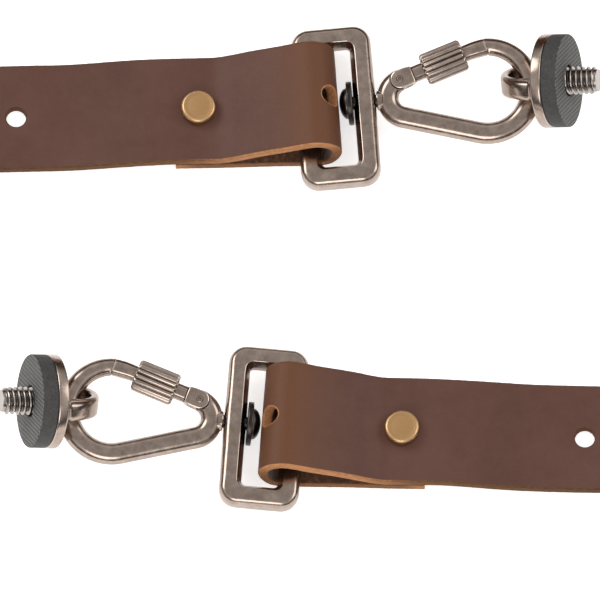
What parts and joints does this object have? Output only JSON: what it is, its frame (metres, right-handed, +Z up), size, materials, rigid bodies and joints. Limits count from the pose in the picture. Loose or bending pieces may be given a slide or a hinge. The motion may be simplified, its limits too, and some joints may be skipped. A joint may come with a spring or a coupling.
{
  "type": "camera shoulder strap",
  "caption": "Leather camera shoulder strap with a swivel loop, locking snap hook and camera screw at each end, lying in a wide open loop.",
  "frame": {"origin": "on the table, under the middle of the whole strap's box", "axes": "+Z up from the table, +X along the long side of the loop, towards the wide turn"},
  "size_m": [0.4126, 0.1466, 0.0252],
  "materials": {
    "leather": "satin chocolate brown with a fine grain, raw tan edges and flesh side",
    "antique_brass": "antique, brushed in rings",
    "gunmetal": "polished antique nickel plating on cast zinc",
    "dark_metal": "blackened",
    "pad_rubber": "matt with a fine grid",
    "bright_nickel": "bright nickel plating"
  },
  "bodies": {
    "strap": {"leather_strap": "leather", "rivet_a": "antique_brass", "rivet_b": "antique_brass", "frame_a": "gunmetal", "frame_b": "gunmetal"},
    "hook_a": {"hook_body_a": "gunmetal", "swivel_pin_a": "dark_metal", "swivel_washer_a": "dark_metal", "gate_pin_a": "gunmetal", "mount_body_a": "gunmetal", "rubber_pad_a": "pad_rubber", "screw_stud_a": "bright_nickel"},
    "gate_a": {"gate_a": "gunmetal"},
    "sleeve_a": {"locking_sleeve_a": "gunmetal"},
    "hook_b": {"hook_body_b": "gunmetal", "swivel_pin_b": "dark_metal", "swivel_washer_b": "dark_metal", "gate_pin_b": "gunmetal", "mount_body_b": "gunmetal", "rubber_pad_b": "pad_rubber", "screw_stud_b": "bright_nickel"},
    "gate_b": {"gate_b": "gunmetal"},
    "sleeve_b": {"locking_sleeve_b": "gunmetal"}
  },
  "joints": [
    {"name": "swivel_a", "type": "hinge", "parent": "strap", "child": "hook_a", "pos_m": [-0.01168, 0.02403, 0.00571], "axis": [0.9953, 0.0748, 0.061], "continuous": true},
    {"name": "gate_open_a", "type": "hinge", "parent": "hook_a", "child": "gate_a", "pos_m": [0.00282, 0.02929, 0.0075], "axis": [0.044, 0.2118, -0.9763], "range_deg": [0, 40], "stiffness_Nm_per_rad": 0.02, "springref_deg": -28.65},
    {"name": "sleeve_slide_a", "type": "slide", "parent": "gate_a", "child": "sleeve_a", "axis": [0.9258, 0.3586, 0.1195], "range_m": [-0.002, 0.0048]},
    {"name": "swivel_b", "type": "hinge", "parent": "strap", "child": "hook_b", "pos_m": [-0.02774, -0.05307, 0.00571], "axis": [-0.9953, 0.0748, 0.061], "continuous": true},
    {"name": "gate_open_b", "type": "hinge", "parent": "hook_b", "child": "gate_b", "pos_m": [-0.04225, -0.04781, 0.0075], "axis": [0.044, -0.2118, 0.9763], "range_deg": [0, 40], "stiffness_Nm_per_rad": 0.02, "springref_deg": -28.65},
    {"name": "sleeve_slide_b", "type": "slide", "parent": "gate_b", "child": "sleeve_b", "axis": [-0.9258, 0.3586, 0.1195], "range_m": [-0.002, 0.0048]}
  ]
}
